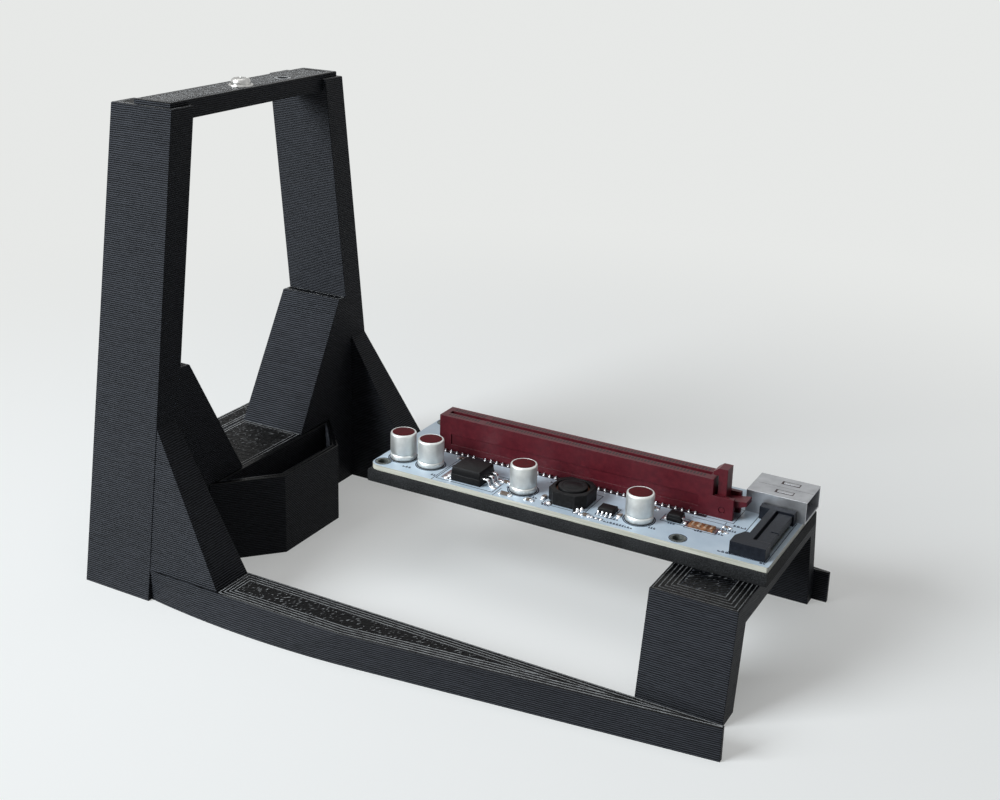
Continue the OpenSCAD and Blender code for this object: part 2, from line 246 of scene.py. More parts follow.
# name: darker and lighter colour, roughness, and what else speckled should know
SPECKLED = {
    "slot_red": ((0.075, 0.006, 0.012), (0.11, 0.010, 0.017), 0.4, dict(size=700, edge=0.00015, specular=0.25)),
    # slot_dark also colours painted shade: the dark sheets in the slot's contact windows and the socket's spring
    # windows, and the painted shadow along the slot's pin rows
    "slot_dark": ((0.010, 0.002, 0.003), (0.02, 0.004, 0.005), 0.6, dict(size=900)),
    "contact_gold": ((0.80, 0.56, 0.20), (0.90, 0.68, 0.30), 0.25, dict(metal=1.0, size=1500)),
    "can_aluminium": ((0.66, 0.68, 0.67), (0.78, 0.8, 0.79), 0.5, dict(metal=1.0, size=500)),
    "mark_maroon": ((0.050, 0.002, 0.004), (0.10, 0.004, 0.008), 0.55, dict(size=900, specular=0.1)),
    "chip_black": ((0.002, 0.002, 0.0024), (0.007, 0.007, 0.008), 0.4, dict(size=1800, edge=0.00012, specular=0.16)),
    "tinned_metal": ((0.66, 0.67, 0.69), (0.84, 0.85, 0.87), 0.24, dict(metal=1.0, size=900)),
    "ferrite_dark": ((0.002, 0.002, 0.0024), (0.009, 0.009, 0.01), 0.38, dict(size=1100, depth=0.00008, specular=0.16)),
    "copper_wire": ((0.07, 0.022, 0.009), (0.14, 0.045, 0.018), 0.4, dict(metal=0.4, size=1400, specular=0.2)),
    "fuse_amber": ((0.06, 0.022, 0.010), (0.40, 0.17, 0.07), 0.3, dict(size=800, edge=0.0001)),
    "fuse_pale": ((0.22, 0.12, 0.07), (0.72, 0.56, 0.42), 0.35, dict(size=1100)),
    "chip_brown": ((0.10, 0.075, 0.06), (0.19, 0.145, 0.11), 0.5, dict(size=1800)),
    "socket_black": ((0.008, 0.01, 0.015), (0.017, 0.02, 0.028), 0.4, dict(size=900, edge=0.0002, specular=0.14)),
    "tongue_blue": ((0.008, 0.04, 0.26), (0.012, 0.06, 0.34), 0.4, dict(size=800)),
    "dull_tin": ((0.07, 0.08, 0.075), (0.24, 0.26, 0.24), 0.5, dict(metal=0.5, size=800, specular=0.3)),
    "screw_steel": ((0.42, 0.42, 0.41), (0.62, 0.61, 0.59), 0.3, dict(metal=1.0, size=700)),
    "shell_steel": ((0.36, 0.37, 0.39), (0.48, 0.49, 0.51), 0.4, dict(metal=1.0, size=260, edge=0.0002)),
    "print_blue": ((0.004, 0.010, 0.026), (0.010, 0.022, 0.055), 0.5, dict(size=1500, specular=0.2)),
}
for finish_name, (dark, light, gloss, more) in SPECKLED.items():
    finishes[finish_name] = speckled(finish_name, dark, light, gloss, **more)
FINISH_OF = {"data_socket": "shell_steel"}   # nodes whose finish isn't called after their slot


def dress(obj, finish):
    """Gives an object one finish."""
    obj.data.materials.clear()
    obj.data.materials.append(finishes[finish])


for part in frame["record"]["subparts"]:
    dress(nodes[part["node"]], FINISH_OF.get(part["node"], part["material_slot"]))


# ---------------------------------------------------------------- shapes
# All in mm, with x counted from the tower's front face, y and z as in the frame.

def rings(rows, wrap=True, ends=True):
    """Joins equal rows of points with quads; wrap closes each row, ends close the first and the last row
    with a flat face."""
    rows = np.asarray(rows, float)
    count, size = rows.shape[:2]
    index = np.arange(count * size).reshape(count, size)
    side = np.roll(index, -1, 1) if wrap else index[:, 1:]
    near = index if wrap else index[:, :-1]
    quads = np.stack([near[:-1], side[:-1], side[1:], near[1:]], -1).reshape(-1, 4).tolist()
    if ends:
        quads += [index[0][::-1].tolist(), index[-1].tolist()]
    return rows.reshape(-1, 3), quads


def rect(x0, y0, x1, y1):
    """The corners of a rectangle, counter-clockwise."""
    return [(x0, y0), (x1, y0), (x1, y1), (x0, y1)]


def circle(x, y, z, r, steps):
    """A level circle of points; r is one radius, or one for each point."""
    turn = np.linspace(0, 2 * math.pi, steps, endpoint=False)
    return np.stack([x + r * np.cos(turn), y + r * np.sin(turn), np.full(steps, z)], 1)


def block(x, y, z, lx, ly, h, corner=0.25, edge=0.12, draft=0.0):
    """A moulded block centred on x, y and standing on z: rounded rectangle rows, quarter-round upper and
    lower edges, sides drawn in by draft towards the top."""
    turn = np.radians(np.arange(4)[:, None] * 90 + np.array([0, 22.5, 45, 67.5, 90])).ravel()
    sign = np.repeat([[1, 1], [-1, 1], [-1, -1], [1, -1]], 5, axis=0)
    arc = np.radians([0, 45, 90])
    level = np.concatenate([edge * (1 - np.cos(arc)), h - edge + edge * np.sin(arc)])
    rounding = np.concatenate([edge * (1 - np.sin(arc)), edge * (1 - np.cos(arc))])
    rows = []
    for up, drawn in zip(level, rounding):
        drawn = drawn + draft * up / h
        r = max(corner - drawn, 0.01)
        px = sign[:, 0] * (lx / 2 - drawn - r) + r * np.cos(turn)
        py = sign[:, 1] * (ly / 2 - drawn - r) + r * np.sin(turn)
        rows.append(np.stack([x + px, y + py, np.full(20, z + up)], 1))
    return rings(rows)


def lathe(x, y, z, profile, steps=48):
    """A turned shape: the profile of radius and height swept round the vertical through x, y."""
    return rings([circle(x, y, z + up, r, steps) for r, up in profile])


def prism(outline, low, high):
    """A flat outline of x, y points, counter-clockwise, raised from low to high."""
    outline = np.asarray(outline, float)
    return rings([np.column_stack([outline, np.full(len(outline), z)]) for z in (low, high)])


def strip(path, width, thick):
    """A flat metal lead: a rectangle with blunted corners, swept along a path in a plane of constant y."""
    path = np.asarray(path, float)
    run = np.gradient(path[:, [0, 2]], axis=0)
    run /= np.linalg.norm(run, axis=1)[:, None]
    normal = np.stack([-run[:, 1], np.zeros(len(path)), run[:, 0]], 1) * thick / 2
    side = np.array([0, width / 2, 0])
    cut = 0.3 * normal
    slim = side * 0.8
    rows = np.stack([path + normal - slim, path + cut - side, path - cut - side, path - normal - slim,
                     path - normal + slim, path - cut + side, path + cut + side, path + normal + slim], 1)
    return rings(rows)


def smooth_path(points, steps=8):
    """Rounds a polyline by sampling a quadratic curve through the middles of its segments."""
    points = np.asarray(points, float)
    middles = (points[1:] + points[:-1]) / 2
    t = np.linspace(0, 1, steps, endpoint=False)[:, None]
    curve = [(1 - t) ** 2 * a + 2 * t * (1 - t) * p + t ** 2 * b
             for a, p, b in zip(middles[:-1], points[1:-1], middles[1:])]
    return np.concatenate([points[:1]] + curve + [middles[-1:], points[-1:]])


def pool(x, y, z, rx, ry, h):
    """A solder fillet: a dome with a half length, a half width and a height."""
    rise = np.radians([0, 20, 45, 70, 88])
    shape = lathe(0, 0, 0, np.stack([np.cos(rise), np.sin(rise)], 1), 16)
    return shape[0] * [rx, ry, h] + [x, y, z], shape[1]


def flat_ring(x, y, z, inner, outer, thick=0.03, steps=40):
    """A thin printed or plated ring lying on the board."""
    around = ((outer, 0), (outer, thick), (inner, thick), (inner, 0), (outer, 0))
    return rings([circle(x, y, z + up, r, steps) for r, up in around], ends=False)


def bar(x0, y0, x1, y1, z, thick=0.02):
    """A thin flat bar with square ends."""
    return prism(rect(x0, y0, x1, y1), z, z + thick)


def line_box(x0, y0, x1, y1, wide=0.22):
    """A printed outline of a rectangle on the board: its lower, upper, left and right line."""
    return [bar(x0, y0, x1, y0 + wide, TOP), bar(x0, y1 - wide, x1, y1, TOP),
            bar(x0, y0 + wide, x0 + wide, y1 - wide, TOP), bar(x1 - wide, y0 + wide, x1, y1 - wide, TOP)]


def turned(shape, degrees, x, y):
    """Turns a shape about the vertical and moves it to x, y."""
    a = math.radians(degrees)
    matrix = np.array([[math.cos(a), -math.sin(a), 0], [math.sin(a), math.cos(a), 0], [0, 0, 1]])
    return shape[0] @ matrix.T + [x, y, 0], shape[1]


def piece(name, shapes, finish, hides=(), smooth=35):
    """Joins shapes into one object in metres that rides on the stand, with a finish and a slot, in place of
    the nodes it hides; edges sharper than smooth degrees stay sharp."""
    points, faces, start = [], [], 0
    for verts, quads in shapes:
        points.append(verts)
        faces += [[i + start for i in face] for face in quads]
        start += len(verts)
    points = np.concatenate(points)
    points[:, 0] += TOWER_X
    mesh = bpy.data.meshes.new(name)
    mesh.from_pydata((points * MM).tolist(), [], faces)
    mesh.validate()
    mesh.update()
    obj = bpy.data.objects.new(name, mesh)
    bpy.context.scene.collection.objects.link(obj)
    mesh.materials.append(finishes[finish])
    mesh.shade_smooth()
    mesh.set_sharp_from_angle(angle=math.radians(smooth))
    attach(obj, STAND)
    if hides:
        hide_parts(*hides)
    return obj


# ---------------------------------------------------------------- ridged skins of printed tops

def inset(outline, by):
    """Moves a counter-clockwise outline inwards: each corner goes along its mitre by the given distance."""
    outline = np.asarray(outline, float)
    ahead = np.roll(outline, -1, 0) - outline
    ahead /= np.linalg.norm(ahead, axis=1)[:, None]
    normal = np.stack([-ahead[:, 1], ahead[:, 0]], 1)
    behind = np.roll(normal, 1, 0)
    mitre = (normal + behind) / (1 + (normal * behind).sum(1))[:, None]
    return outline + mitre * by


def beads(line_at, z, pitch, count, high):
    """Outer lines of a printed top: count rounded ridges, each pitch wide, along the lines that line_at
    gives for a distance from the rim."""
    rows = []
    for k in range(count):
        for part, up in ((0.04, 0), (0.2, 0.75), (0.5, 1), (0.8, 0.75), (0.96, 0)):   # round cross-section
            line = line_at((k + part) * pitch)
            rows.append(np.column_stack([line, np.full(len(line), z + up * high)]))
    return rings(rows, ends=False)


def raster(outline, z, pitch, high, angle, seed, rough=1.0, holes=()):
    """Filling of a printed top: ridges side by side at an angle, cut to the outline and round the holes,
    each wavering a little in height and place along its length."""
    rng = np.random.default_rng(seed)
    outline = np.asarray(outline, float)
    turn = math.radians(angle)
    along = np.array([math.cos(turn), math.sin(turn)])
    across = np.array([-along[1], along[0]])
    local = np.stack([outline @ along, outline @ across], 1)
    ahead = np.roll(local, -1, 0) - local
    lines = np.arange(local[:, 1].min() + pitch * 0.6, local[:, 1].max() - pitch * 0.5, pitch)
    # where each line enters and leaves the convex outline
    flat = np.abs(ahead[:, 1]) < 1e-9
    slope = np.where(flat, 0, ahead[:, 0] / np.where(flat, 1, ahead[:, 1]))
    cross = local[:, 0] + (lines[:, None] - local[:, 1]) * slope
    rising = ahead[:, 1] > 0
    enter = np.where(~rising & ~flat, cross, -1e9).max(1)
    leave = np.where(rising, cross, 1e9).min(1)
    spans = list(zip(lines, enter, leave))
    for x, y, r in holes:
        mid, off = np.array([x, y]) @ along, np.array([x, y]) @ across
        cut = []
        for line, a, b in spans:
            half = math.sqrt(max(r * r - (line - off) ** 2, 0))
            inside = half > 0 and a < mid + half and b > mid - half
            cut += [(line, a, mid - half), (line, mid + half, b)] if inside else [(line, a, b)]
        spans = cut
    shapes = []
    for line, a, b in spans:
        if b - a < pitch:
            continue
        steps = max(int((b - a) / 0.6), 2) + 1   # a point every 0.6 mm
        s = np.linspace(a + pitch * 0.1, b - pitch * 0.1, steps)
        wander = rng.normal(0, 0.05 * pitch * rough, steps)
        lift = high * (0.5 + 0.52 * rng.random(steps) * rough)
        lift[[0, -1]] = high * (0.7 + 0.3 * rng.random(2))
        columns = []
        for off, up in ((-0.46, 0), (-0.25, 0.8), (0, 1), (0.25, 0.8), (0.46, 0)):   # round cross-section
            t = line + off * pitch + wander
            columns.append(np.column_stack([s[:, None] * along + t[:, None] * across, z + up * lift]))
        shapes.append(rings(np.stack(columns, 0), wrap=False, ends=False))
    return shapes


SKIN_GAP = 0.01   # between a printed face and the skin on it, in mm


def printed_top(name, z, outline=None, line_at=None, pitch=1.0, rim_pitch=None, count=2, high=0.3, angle=45,
                seed=1, rough=1.0, holes=(), flip=False, rim_highlight=1.0, raster_highlight=1.0):
    """The ridged upper skin of a printed piece: outer lines round the rim and a raster inside them; flip
    mirrors it to the rear side. The last two arguments say how pale the painted highlight on the crests of the lines
    and of the raster is."""
    line_at = line_at or (lambda by: inset(outline, by))
    z = z + SKIN_GAP
    rim_pitch = rim_pitch or pitch
    shapes = [beads(line_at, z, rim_pitch, count, high)]
    rims = [(x, y, r + pitch) for x, y, r in holes]
    shapes += raster(line_at(count * rim_pitch), z, pitch, high, angle, seed, rough, rims)
    turn = np.linspace(0, -2 * math.pi, 40, endpoint=False)   # clockwise: the ridge lies outside the hole
    for x, y, r in holes:
        around = lambda by: np.stack([x + (r + by) * np.cos(turn), y + (r + by) * np.sin(turn)], 1)
        shapes.append(beads(around, z, pitch, 1, high))
    if flip:
        shapes = [(verts * [1, -1, 1], [face[::-1] for face in faces]) for verts, faces in shapes]
    obj = piece(name, shapes, "printed_top", smooth=70)
    place = np.empty(len(obj.data.vertices) * 3, np.float32)
    obj.data.vertices.foreach_get("co", place)
    # mask of the painted highlight: how high each point stands on its ridge, scaled for the rim and the raster
    crest_highlight = np.clip((place[2::3] / MM - z) / high, 0, 1.3).astype(np.float32)
    rim = len(shapes[0][0])
    crest_highlight[:rim] *= rim_highlight
    crest_highlight[rim:] *= raster_highlight
    obj.data.attributes.new("crest_highlight", "FLOAT", "POINT").data.foreach_set("value", crest_highlight)
    return obj


# ---------------------------------------------------------------- printed tops of the stand

FOOT_START = 25.2            # where the foot leaves the outer gusset
BOW_MID, BOW_END = 36, 72    # middle and end of the bow of its outer side
FOOT_TIP = 171.8
BOW_RADIUS = 298
FOOT_OUT, FOOT_IN = -60.6, -44.8   # outer and inner side of the front foot
FOOT_TOP = 9.5
FOOT_LEAN = 0.17             # how far the outer side leans in for each mm of height
BOW_MITRE = 1.003            # lengthens a step across the bow, which isn't quite parallel to x


def foot_line(by):
    """Upper outline of the front foot, moved inwards by a distance: bowed side cut by its lean, straight
    taper towards a tip, straight inner side."""
    x = np.linspace(FOOT_START, BOW_END, 20)
    bow = FOOT_OUT + BOW_RADIUS * (1 - np.cos(np.arcsin((x - BOW_MID) / BOW_RADIUS)))
    side = np.maximum(bow, FOOT_OUT + FOOT_LEAN * FOOT_TOP) + by * BOW_MITRE
    slope = math.tan(math.asin((BOW_END - BOW_MID) / BOW_RADIUS))
    base = side[-1]
    inner = FOOT_IN - by
    tip = min(FOOT_TIP, BOW_END + (inner - base) / slope)
    start = FOOT_START + by
    x = np.maximum(x, start)
    outer = np.column_stack([x, side])
    ends = np.array([[tip, min(base + (tip - BOW_END) * slope, inner)], [tip, inner], [start, inner]])
    return np.concatenate([outer, ends])


SCREW = (-6.2, -2.9)         # the screw in the crossbar; its second hole is left open
HOLE_2 = (-6.2, 17.42)
POST_TOP = rect(-22.1, -40.4, 0, -31.3)
LEDGE = rect(-23.2, -41.4, 0, -37.8)

for name, seed, flip in (("front_foot_top", 3, False), ("rear_foot_top", 4, True)):
    printed_top(name, FOOT_TOP, line_at=foot_line, pitch=0.85, rim_pitch=1.05, count=4, seed=seed, flip=flip,
                raster_highlight=1.04)
printed_top("bridge_skin", 30.4, rect(143, -26.7, 167.5, 40.4), pitch=1.1, rim_pitch=1.25, count=5, high=0.1,
            seed=5, rim_highlight=0.92, raster_highlight=0.98)
printed_top("crossbar_top", 143.5, rect(-14.6, -39.25, -1.4, 39.25), pitch=1.3, rim_pitch=1.2, high=0.22,
            angle=0, seed=6, holes=[(*SCREW, 1.6), (*HOLE_2, 1.6)], rim_highlight=0.99, raster_highlight=1.75, rough=0.3)
printed_top("front_post_top", 142, POST_TOP, high=0.2, seed=7)
printed_top("rear_post_top", 142, POST_TOP, high=0.2, seed=8, flip=True)
printed_top("heel_top", 26, rect(-32.5, -44.8, -24.6, 44.8), pitch=1.1, seed=9)
printed_top("low_wall_top", 26, rect(-24.0, -15.1, 0, 15.1), pitch=1.1, seed=10)
printed_top("front_ledge_top", 67, LEDGE, pitch=0.9, count=1, high=0.2, seed=11)
printed_top("rear_ledge_top", 67, LEDGE, pitch=0.9, count=1, high=0.2, seed=12, flip=True)

POCKET_OUT = np.array([(0, -31.4), (15.7, -14.2), (15.7, 14.2), (0, 31.4)])
POCKET_IN = np.array([(1.2, -28.2), (13.3, -12.9), (13.3, 12.9), (1.2, 28.2)])
POCKET_WALL = 2.4            # across both of the two lines on its rim
piece("pocket_rim", [beads(lambda by: POCKET_OUT + (POCKET_IN - POCKET_OUT) * by / POCKET_WALL, 26 + SKIN_GAP,
                           POCKET_WALL / 2, 2, 0.2)],
      "printed_top", smooth=70)


# ---------------------------------------------------------------- pad and board

def pad_strip():
    """The foam pad: a long rounded bar whose front and rear sides waver by a few tenths of a millimetre."""
    x = np.linspace(44.35, 169.25, 160)
    wave = 0.28 * np.sin(x / 9.5) + 0.16 * np.sin(x / 3.7 + 1)
    low, high, middle = 30.52, 34.28, 11.0
    rows = []
    for y, z in ((-11.0, 30.9), (-11.05, 33.9), (-10.8, high), (middle, high), (33.2, high), (33.45, 33.9),
                 (33.4, 30.9), (33.1, low), (middle, low), (-10.7, low)):
        drift = wave * 0.25 * np.sign(middle - y)
        lift = wave * 0.25 if z < 31 else 0
        rows.append(np.stack([x, y - drift, np.full(len(x), z) + lift], 1))
    return rings(np.stack(rows, 1)[:, ::-1])


piece("pad_foam", [pad_strip()], "foam_black", hides=["pad"], smooth=50)

CAPS = [(50.7, -0.9), (60.6, -1.2), (92.6, -2.1), (129, -1.8)]
HOLES = [(47.15, -6.7), (142.55, -6.7), (47.15, 29.4), (142.55, 29.4)]
# solder dots in front of the inductor and the controller
DOTS = [(111.9, -7.5), (113.3, -7.5), (117.1, -7.6), (118.5, -7.6), (119.9, -7.6)]
PADS = [(69.4, -3.0, 3.4, 8.4), (84.9, -5.6, 1.5, 1.2), (84.9, -3.06, 1.5, 1.2), (84.9, -0.52, 1.5, 1.2),
        (111.9, -6.5, 2.2, 1.2), (102.9, -6.3, 2.4, 1.6), (134.9, 3.2, 1.6, 2.2), (140.9, 3.2, 1.6, 2.2),
        (142.0, 2.6, 1.2, 3.4), (149.8, 2.6, 1.2, 3.4)]   # x, y, length, width

rims = []
for x, y in HOLES:
    rims.append(flat_ring(x, y, TOP, 1.62, 2.3, 0.04))
    rims.append(rings([circle(x, y, z, 1.57, 40) for z in (BOARD_TOP + 0.04, 34.35)], ends=False))
piece("hole_rims", rims, "dull_tin")
plated = [bar(x - lx / 2, y - ly / 2, x + lx / 2, y + ly / 2, TOP, 0.03) for x, y, lx, ly in PADS]
piece("board_plating", plated, "tinned_metal")


TICK_ROWS = [(54.0, -6.9, 3), (64.4, -7.6, 2), (87.6, -3.2, 4), (96.0, -5.4, 3), (101.4, -7.9, 3), (121.0, -8.5, 10),
             (120.6, -5.9, 4), (133.2, -5.4, 3), (136.6, 0.2, 3), (144.6, -0.2, 3), (150.9, 4.5, 5), (153.0, 8.0, 4),
             (154.3, -8.2, 4), (166.2, -8.8, 2), (150.4, 1.0, 3), (88.2, 4.2, 4), (70.0, 6.2, 5), (97.0, 6.6, 6)]


def small_marks(seed=21):
    """Generic unlettered ticks printed beside the parts: short bars of seeded length in tidy rows."""
    rng = np.random.default_rng(seed)
    shapes = []
    for x, y, count in TICK_ROWS:
        step = 0
        for wide in 0.45 + 0.5 * rng.random(count):
            shapes.append(bar(x + step, y, x + step + wide, y + 0.42, TOP))
            if rng.random() > 0.4:
                shapes.append(bar(x + step, y + 0.62, x + step + wide * 0.7, y + 1.0, TOP))
            shapes.append(bar(x + step, y + 0.3, x + step + 0.2, y + 0.8, TOP, 0.018))
            step += wide + 0.22
    return shapes


printed = small_marks()
for places, inner, outer, steps in ((CAPS, 4.32, 4.66, 60), (HOLES, 2.36, 2.56, 60), (DOTS, 0.56, 0.74, 20)):
    printed += [flat_ring(x, y, TOP, inner, outer, 0.02, steps) for x, y in places]
for corners in ((66.6, -8.4, 85.8, 2.4), (101.0, -7.2, 114.4, 6.4), (117.0, -5.6, 122.4, 1.2), (134.0, 0.9, 141.8, 5.5),
                (141.2, 0.3, 150.6, 5.0), (55.6, 9.6, 152.6, 19.4, 0.2), (157.0, -8.0, 167.8, 19.3, 0.2)):
    printed += line_box(*corners)
for corners in ((66.0, -10.0, 66.2, 9.4), (131.0, 7.4, 131.2, 9.4), (141.0, 7.6, 150.6, 7.8), (150.6, 7.6, 150.8, 9.4),
                (86.6, -9.9, 86.8, -4.4)):
    printed.append(bar(*corners, TOP))
piece("board_print", printed, "print_blue")

# slot: painted shade in the contact windows along both lips, soldered pins along both sides and a painted shadow along
# the rows they stand in
SLOT_X, SLOT_Y, SLOT_TOP = 56.5, 14.5, 47.15
CONTACTS, BEFORE_KEY = 82, 10    # contacts in a row, and the last place before the key
number = np.arange(CONTACTS)
along = 2.6 + number + np.where(number > BEFORE_KEY, 2, 0)
window_shade, pins, pin_shadows = [], [], []
for i, x in enumerate(SLOT_X + along):
    for side in (-1, 1):
        lip = SLOT_Y + side * 1.95
        # a dark sheet over each contact window: painted shade where the opening is
        window_shade.append(bar(x - 0.28, lip - 0.75, x + 0.28, lip + 0.75, SLOT_TOP + 0.004, 0.012))
        if i % 2 == (side > 0):
            pins.append(pool(x, SLOT_Y + side * 4.55, TOP, 0.42, 0.46, 0.4))
            pins.append(block(x, SLOT_Y + side * 4.3, TOP, 0.45, 0.55, 0.75, 0.1, 0.08))
# a dark bar along each row of pins on the board: painted shadow of the slot
for side in (-1, 1):
    row = SLOT_Y + side * 4.6
    pin_shadows.append(bar(SLOT_X + 1, row - 0.75, SLOT_X + 88, row + 0.75, TOP - 0.002, 0.012))
piece("slot_window_shade", window_shade, "slot_dark")
piece("slot_pins", pins, "tinned_metal")
piece("slot_pin_shadows", pin_shadows, "slot_dark")


def screw_head(x, y, z, radius=3.0, rise=1.9, steps=96, lines=48):
    """Pan head of a screw on a polar grid: an upright rounded flank that turns into a shallow dome, from
    which a cross of two tapering slots is sunk; depth is where either slot covers the point, with soft edges."""
    turn = np.linspace(0, 2 * math.pi, steps, endpoint=False)
    share = np.concatenate([[1, 1], np.cos(np.linspace(0, math.pi / 2, lines)) ** 0.8 * 0.995 + 0.005])
    r = (radius * share)[:, None] * np.ones(steps)
    flank = rise * 0.35
    up = rise * np.clip(1 - share ** 9, 0, 1) ** 0.5 * (0.92 + 0.08 * (1 - share ** 2))
    up = np.maximum.accumulate(np.concatenate([[0, flank], np.maximum(up[2:], flank)]))
    px, py = r * np.cos(turn + 0.6), r * np.sin(turn + 0.6)
    reach, half_width, depth, blur = 1.95, 0.55, 1.15, 0.14   # of a slot of the cross
    soft = lambda d: np.clip(0.5 - d / blur, 0, 1)
    arm = lambda a, b: soft(np.abs(a) - reach) * soft(np.abs(b) - half_width + 0.1 * np.abs(a))
    sunk = np.maximum(arm(px, py), arm(py, px)) * depth
    return rings(np.stack([x + r * np.cos(turn), y + r * np.sin(turn), z + up[:, None] - sunk], 2))


FLANGE = [(3.5, 0.0), (3.7, 0.16), (3.7, 0.52), (3.56, 0.68), (3.3, 0.71), (2.4, 0.71)]   # under the head
piece("screw_top", [screw_head(*SCREW, 144.2), lathe(*SCREW, 143.5, FLANGE, 72)],
      "screw_steel", hides=["bracket_screw"], smooth=50)


# ---------------------------------------------------------------- parts on the board

# turned profiles of a can: radius and height above the board
CAN = [(3.2, 0.05), (3.86, 0.1), (3.98, 0.35), (4.0, 0.7), (4.0, 1.42), (3.95, 1.56), (3.84, 1.68), (3.76, 1.82),
       (3.84, 1.96), (3.94, 2.08), (3.985, 2.25), (3.985, 7.8), (3.95, 8.08), (3.84, 8.3), (3.66, 8.44), (3.5, 8.48),
       (3.42, 8.45), (3.38, 8.38)]
MARK = [(3.37, 8.36), (3.37, 8.42), (3.28, 8.445), (2.0, 8.45), (0.2, 8.45)]
CAN_FOOT = [(4.14, 0.0), (4.14, 0.12), (4.06, 0.16), (3.5, 0.18)]
for i, (x, y) in enumerate(CAPS):
    piece(f"can_{i + 1}", [lathe(x, y, BOARD_TOP, CAN, 72)], "can_aluminium",
          hides=[f"capacitor_{i + 1}"], smooth=40)
piece("can_marks", [lathe(x, y, BOARD_TOP, MARK, 48) for x, y in CAPS], "mark_maroon")
piece("can_feet", [lathe(x, y, BOARD_TOP, CAN_FOOT, 48) for x, y in CAPS], "chip_black")

REG_X, REG_MID = 71.2, -3.0      # left side and middle line of the regulator
PIN_1, PIN_STEP = -5.6, 2.54     # y of its first lead, and from lead to lead
BEND = [(81.0, 38.0), (82.3, 38.05), (83.0, 37.9), (83.25, 36.9), (83.5, 36.2), (84.0, 36.16), (84.8, 36.16)]
DIMPLE = [(0.8, 0.0), (0.8, 0.03), (0.7, 0.02), (0.1, 0.015)]
piece("regulator_body", [block(REG_X + 5, REG_MID, BOARD_TOP + 0.05, 9.9, 8.9, 2.1, 0.25, 0.12),
                         block(REG_X + 5, REG_MID, BOARD_TOP + 2.1, 9.8, 8.8, 2.28, 0.3, 0.16, 0.32),
                         lathe(REG_X + 2.6, REG_MID, BOARD_TOP + 4.36, DIMPLE, 24)],
      "chip_black", hides=["regulator"])
leads = []
for i in range(3):
    y = PIN_1 + i * PIN_STEP
    leads += [strip(smooth_path([(x, y, z) for x, z in BEND]), 1.15, 0.5), pool(84.7, y, TOP, 0.7, 0.66, 0.24)]
leads += [block(REG_X - 0.65, REG_MID, BOARD_TOP, 1.4, 7.8, 1.25, 0.2, 0.1), pool(69.6, -7.2, TOP, 0.9, 0.7, 0.7),
          pool(69.7, 0.6, TOP, 0.9, 0.8, 0.6)]
piece("regulator_metal", leads, "tinned_metal", hides=["regulator_leads"])

COIL_X, COIL_Y = 107.7, -0.4
COIL_HALF, COIL_CUT = 5.95, 2.5   # half its width, and the corner cut off along each side
COIL_WALL = [(1, 0.25, 0), (1, 0, 0.25), (1, 0, 3.9), (1, 0.08, 4.12), (1, 0.3, 4.25),
             (0, 5.12, 4.28), (0, 5.0, 4.15), (0, 5.0, 1.0)]
COIL_CORE = [(4.3, 0.9), (4.3, 4.3), (4.2, 4.5), (3.95, 4.58), (3.2, 4.58), (3.1, 4.5), (2.4, 4.5), (2.3, 4.56),
             (0.3, 4.56)]


def coil_shell():
    """The ferrite shell: an eight-sided wall rounded at its upper edge, running in to a round well. Each row
    of its profile is either the eight sides drawn in by a distance, or a circle of a radius."""
    turn = np.linspace(0, 2 * math.pi, 96, endpoint=False)
    c, s = np.abs(np.cos(turn)), np.abs(np.sin(turn))
    square = np.minimum(COIL_HALF / np.maximum(c, 1e-6), COIL_HALF / np.maximum(s, 1e-6))
    eight = np.minimum(square, (2 * COIL_HALF - COIL_CUT) / (c + s))
    return rings([circle(COIL_X, COIL_Y, BOARD_TOP + up, eight - size if sided else size, 96)
                  for sided, size, up in COIL_WALL])


piece("coil_ferrite", [coil_shell(), lathe(COIL_X, COIL_Y, BOARD_TOP, COIL_CORE, 64)],
      "ferrite_dark", hides=["inductor"])
turns = [(4.62 + 0.22 * math.sin(k * math.pi / 3), 1.1 + k * 0.09) for k in range(27)]   # of wire, stacked
piece("coil_wire", [lathe(COIL_X, COIL_Y, BOARD_TOP, [(4.32, 1.0), *turns, (4.34, 3.5)], 48)],
      "copper_wire", hides=["inductor_winding"])
ends = [pool(COIL_X + 4.3, COIL_Y - 5.75, TOP, 0.6, 0.5, 0.9), pool(COIL_X + 5.3, COIL_Y - 5.1, TOP, 0.6, 0.5, 1.1),
        pool(COIL_X - 4.8, COIL_Y - 5.4, TOP, 0.9, 0.8, 0.5),
        block(COIL_X - 2.9, COIL_Y + 6.15, BOARD_TOP, 2.6, 0.5, 1.3, 0.15, 0.1),
        pool(COIL_X - 2.6, COIL_Y + 6.4, TOP, 1.2, 0.7, 0.8)]
piece("coil_ends", ends, "tinned_metal")

CHIP_X, CHIP_Y = 119.6, -2.2
PIN_MARK = [(0.34, 0), (0.34, 0.02), (0.28, 0.01), (0.05, 0.005)]
piece("controller_body", [block(CHIP_X, CHIP_Y, BOARD_TOP + 0.12, 4.86, 3.86, 0.75, 0.1, 0.06),
                          block(CHIP_X, CHIP_Y, BOARD_TOP + 0.8, 4.8, 3.8, 0.78, 0.14, 0.1, 0.14),
                          lathe(CHIP_X - 1.8, CHIP_Y - 1.3, BOARD_TOP + 1.575, PIN_MARK, 20)],
      "chip_black", hides=["controller"])

gull = smooth_path([(0, 0, 36.75), (0.3, 0, 36.76), (0.5, 0, 36.6), (0.6, 0, 36.1), (0.75, 0, 36.02),
                    (1.15, 0, 36.02)], 5)   # middle line of a leg, from the body outwards
legs = []
for i in range(4):
    x = CHIP_X - 1.905 + i * 1.27
    for side in (-1, 1):
        y = CHIP_Y + side * 1.9
        legs.append(turned(strip(gull, 0.44, 0.2), side * 90, x, y))
        legs.append(pool(x, y + side * 0.85, TOP, 0.38, 0.55, 0.34))
piece("controller_legs", legs, "tinned_metal", hides=["controller_pins"])

